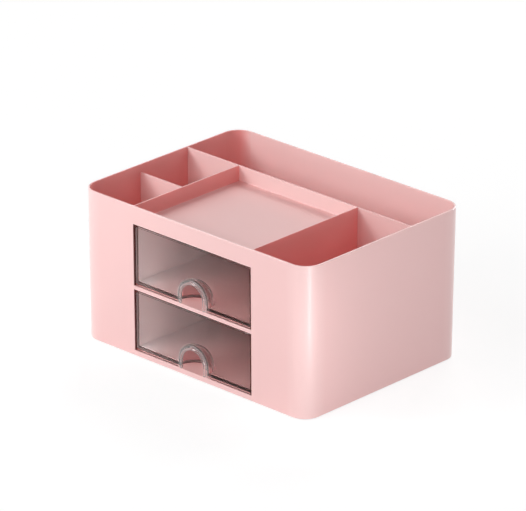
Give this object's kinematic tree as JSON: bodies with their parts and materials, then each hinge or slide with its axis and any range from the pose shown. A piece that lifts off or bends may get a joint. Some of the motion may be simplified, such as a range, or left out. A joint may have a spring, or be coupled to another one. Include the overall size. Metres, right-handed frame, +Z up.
{
  "type": "stationery drawer box",
  "caption": "Desk organizer with tall side bays, a rear trough, a shallow top tray and clear drawers that slide out below it.",
  "frame": {"origin": "middle of the footprint, on the desk under the feet", "axes": "+X along the width, to the right seen from the front; +Y towards the back, so the drawers open towards -Y; +Z up"},
  "size_m": [0.24, 0.1772, 0.1263],
  "materials": {
    "casing_plastic": "satin",
    "clear_plastic": "polished, clear with a faint smoky tint",
    "foot_rubber": "matte"
  },
  "bodies": {
    "casing": {"outer_shell": "casing_plastic", "compartment_insert": "casing_plastic", "drawer_shelf": "casing_plastic", "foot_front_left": "foot_rubber", "foot_rear_left": "foot_rubber", "foot_front_right": "foot_rubber", "foot_rear_right": "foot_rubber"},
    "cross_divider": {"cross_divider": "casing_plastic"},
    "upper_drawer": {"upper_drawer": "clear_plastic"},
    "lower_drawer": {"lower_drawer": "clear_plastic"}
  },
  "joints": [
    {"name": "slide_upper_drawer", "type": "slide", "parent": "casing", "child": "upper_drawer", "axis": [0, -1, 0], "range_m": [0, 0.085]},
    {"name": "slide_lower_drawer", "type": "slide", "parent": "casing", "child": "lower_drawer", "axis": [0, -1, 0], "range_m": [0, 0.085]},
    {"name": "lift_divider", "type": "slide", "parent": "casing", "child": "cross_divider", "axis": [0, 0, 1], "range_m": [0, 0.125]}
  ]
}
